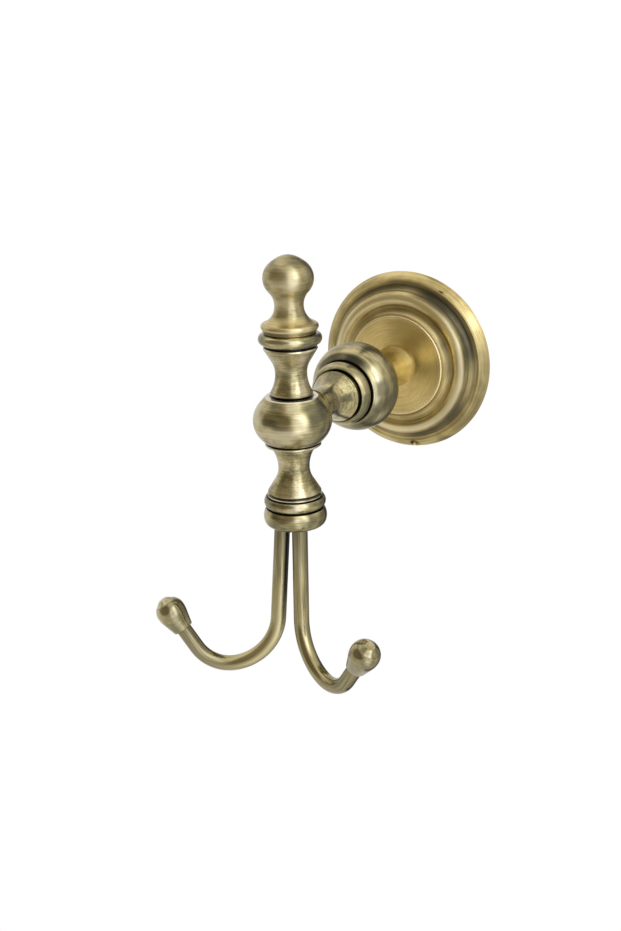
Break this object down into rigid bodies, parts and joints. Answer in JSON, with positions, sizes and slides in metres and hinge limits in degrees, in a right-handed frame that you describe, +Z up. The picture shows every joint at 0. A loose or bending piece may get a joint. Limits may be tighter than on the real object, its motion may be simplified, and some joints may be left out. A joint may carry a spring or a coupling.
{
  "type": "double robe hook",
  "caption": "Wall-mounted robe hook: a moulded round wall rose, a turned arm, an upright turned column with a ball finial and a splayed pair of bent rods with knobs.",
  "frame": {"origin": "on the wall plane, at the centre of the round wall rose, midway between the two screw holes", "axes": "+Z up, +Y into the wall along the arm's axis, +X to the right of someone who faces the wall"},
  "size_m": [0.0681, 0.0926, 0.1152],
  "materials": {
    "antique_brass": "brushed antique brass, lacquered, with dark patina in the recesses",
    "zinc_steel": "zinc-plated steel",
    "black_steel": "blackened steel"
  },
  "bodies": {
    "root": {"wall_rose": "antique_brass", "arm_neck": "antique_brass", "arm_ball": "antique_brass", "arm_ring": "antique_brass", "arm_spool": "antique_brass", "body_ball": "antique_brass", "body_disc": "antique_brass", "upper_spool": "antique_brass", "upper_bead": "antique_brass", "finial": "antique_brass", "lower_spool": "antique_brass", "spacer_ring": "antique_brass", "lower_bead": "antique_brass", "rod_holder": "antique_brass", "left_hook_rod": "antique_brass", "right_hook_rod": "antique_brass", "left_knob": "antique_brass", "right_knob": "antique_brass", "wall_bracket": "zinc_steel", "arm_stud": "zinc_steel", "arm_washer": "zinc_steel", "arm_nut": "zinc_steel", "column_stud": "zinc_steel", "rose_grub_screw": "black_steel"}
  },
  "joints": []
}
